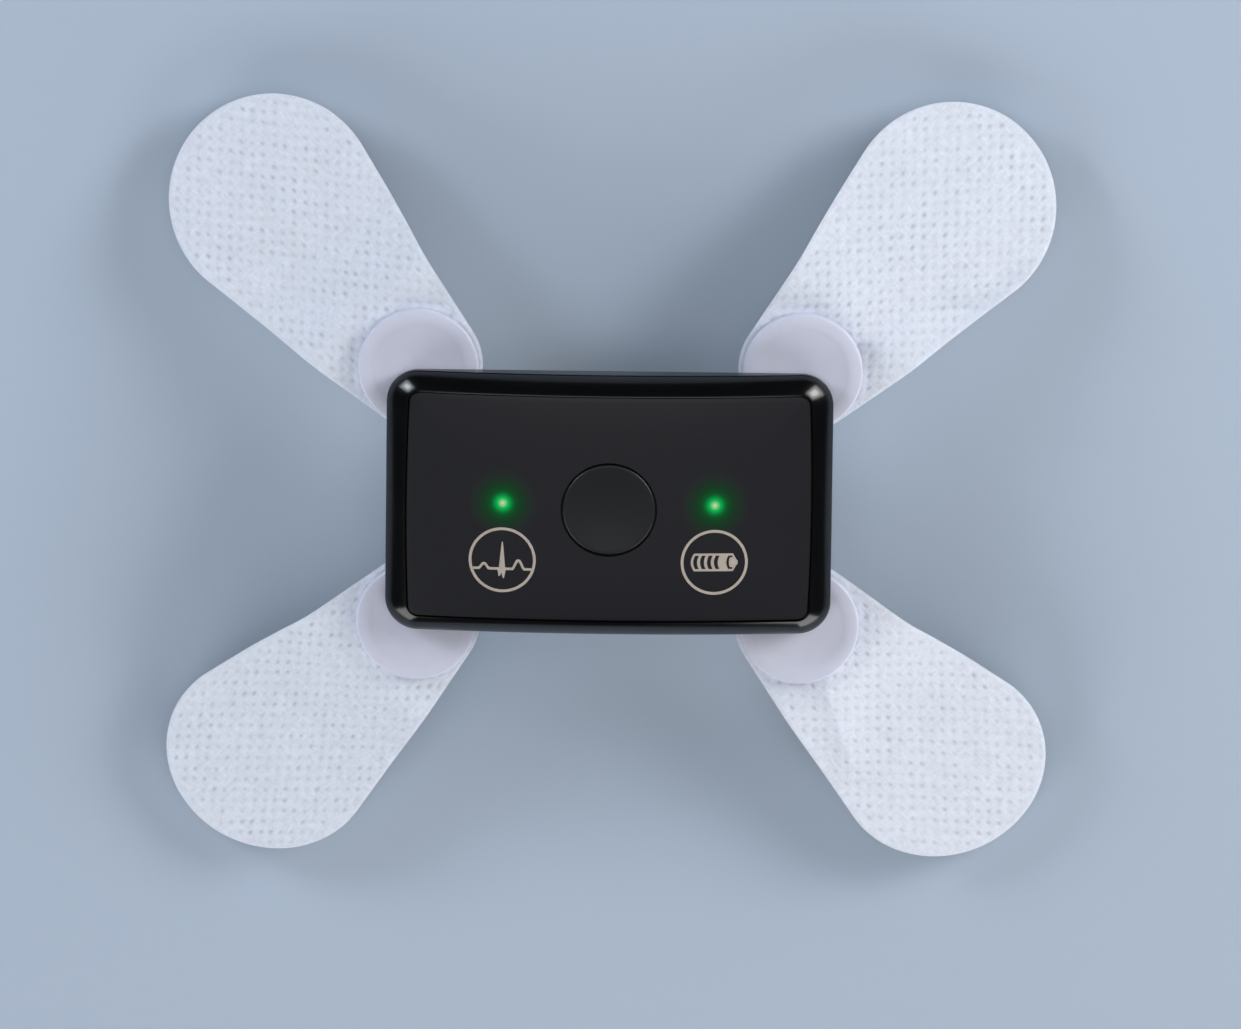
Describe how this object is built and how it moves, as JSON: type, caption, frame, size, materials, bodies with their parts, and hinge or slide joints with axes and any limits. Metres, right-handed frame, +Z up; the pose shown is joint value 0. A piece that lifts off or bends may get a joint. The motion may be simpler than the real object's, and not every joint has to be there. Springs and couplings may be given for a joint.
{
  "type": "holter monitor",
  "caption": "Flat black ECG recorder with two green lamps and an event key, held by press-stud electrode patches that droop from its corners.",
  "frame": {"origin": "below the middle of the recorder, on the level of the four patch tips that the part stands on", "axes": "+X along the recorder's long side, +Y across it, away from the two icons, +Z up out of the front panel"},
  "size_m": [0.1434, 0.1266, 0.0225],
  "materials": {
    "gloss_black_housing": "gloss moulded",
    "satin_panel": "satin",
    "satin_key": "satin",
    "rear_plastic": "gloss moulded",
    "gasket_rubber": "matte",
    "circuit_board": "solder mask",
    "chip_epoxy": "matte",
    "cell_foil": "satin foil",
    "green_lens": "lit lens",
    "green_led": "lit lamp",
    "nickel_steel": "nickel plated",
    "lavender_disc": "satin moulded",
    "white_nonwoven": "embossed non-woven",
    "skin_adhesive": "tacky satin",
    "hydrogel": "wet gloss",
    "silver_ink": "printed satin",
    "panel_ink": "pad printed"
  },
  "bodies": {
    "recorder": {"front_housing": "gloss_black_housing", "front_panel": "satin_panel", "rear_cover": "rear_plastic", "housing_gasket": "gasket_rubber", "main_board": "circuit_board", "battery_cell": "cell_foil", "processor_chip": "chip_epoxy", "memory_chip": "chip_epoxy", "ecg_front_end_chip": "chip_epoxy", "event_switch": "chip_epoxy", "led_heart": "green_led", "led_battery": "green_led", "light_guide_heart": "green_lens", "light_guide_battery": "green_lens", "cover_screw_upper_right": "nickel_steel", "cover_screw_upper_left": "nickel_steel", "cover_screw_lower_left": "nickel_steel", "cover_screw_lower_right": "nickel_steel", "snap_socket_upper_right": "nickel_steel", "snap_socket_upper_left": "nickel_steel", "snap_socket_lower_left": "nickel_steel", "snap_socket_lower_right": "nickel_steel"},
    "event_key": {"event_button": "satin_key"},
    "snap_upper_right": {"snap_stud_upper_right": "nickel_steel", "eyelet_upper_right": "nickel_steel"},
    "snap_upper_left": {"snap_stud_upper_left": "nickel_steel", "eyelet_upper_left": "nickel_steel"},
    "snap_lower_left": {"snap_stud_lower_left": "nickel_steel", "eyelet_lower_left": "nickel_steel"},
    "snap_lower_right": {"snap_stud_lower_right": "nickel_steel", "eyelet_lower_right": "nickel_steel"},
    "patch_upper_right": {"snap_disc_upper_right": "lavender_disc", "fabric_patch_upper_right": "white_nonwoven", "skin_adhesive_upper_right": "skin_adhesive", "conductor_track_upper_right": "silver_ink", "gel_pad_upper_right": "hydrogel"},
    "patch_upper_left": {"snap_disc_upper_left": "lavender_disc", "fabric_patch_upper_left": "white_nonwoven", "skin_adhesive_upper_left": "skin_adhesive", "conductor_track_upper_left": "silver_ink", "gel_pad_upper_left": "hydrogel"},
    "patch_lower_left": {"snap_disc_lower_left": "lavender_disc", "fabric_patch_lower_left": "white_nonwoven", "skin_adhesive_lower_left": "skin_adhesive", "conductor_track_lower_left": "silver_ink", "gel_pad_lower_left": "hydrogel"},
    "patch_lower_right": {"snap_disc_lower_right": "lavender_disc", "fabric_patch_lower_right": "white_nonwoven", "skin_adhesive_lower_right": "skin_adhesive", "conductor_track_lower_right": "silver_ink", "gel_pad_lower_right": "hydrogel"}
  },
  "joints": [
    {"name": "event_press", "type": "slide", "parent": "recorder", "child": "event_key", "axis": [0, 0, -1], "range_m": [0, 0.00035], "stiffness_N_per_m": 400},
    {"name": "pull_off_upper_right", "type": "slide", "parent": "recorder", "child": "snap_upper_right", "axis": [0, 0, -1], "range_m": [0, 0.004]},
    {"name": "pull_off_upper_left", "type": "slide", "parent": "recorder", "child": "snap_upper_left", "axis": [0, 0, -1], "range_m": [0, 0.004]},
    {"name": "pull_off_lower_left", "type": "slide", "parent": "recorder", "child": "snap_lower_left", "axis": [0, 0, -1], "range_m": [0, 0.004]},
    {"name": "pull_off_lower_right", "type": "slide", "parent": "recorder", "child": "snap_lower_right", "axis": [0, 0, -1], "range_m": [0, 0.004]},
    {"name": "swivel_upper_right", "type": "hinge", "parent": "snap_upper_right", "child": "patch_upper_right", "pos_m": [0.02675, 0.01669, 0.01487], "axis": [0, 0, 1], "range_deg": [-40, 40]},
    {"name": "swivel_upper_left", "type": "hinge", "parent": "snap_upper_left", "child": "patch_upper_left", "pos_m": [-0.02675, 0.01669, 0.01487], "axis": [0, 0, 1], "range_deg": [-40, 40]},
    {"name": "swivel_lower_left", "type": "hinge", "parent": "snap_lower_left", "child": "patch_lower_left", "pos_m": [-0.02675, -0.01669, 0.01487], "axis": [0, 0, 1], "range_deg": [-40, 40]},
    {"name": "swivel_lower_right", "type": "hinge", "parent": "snap_lower_right", "child": "patch_lower_right", "pos_m": [0.02675, -0.01669, 0.01487], "axis": [0, 0, 1], "range_deg": [-40, 40]}
  ]
}
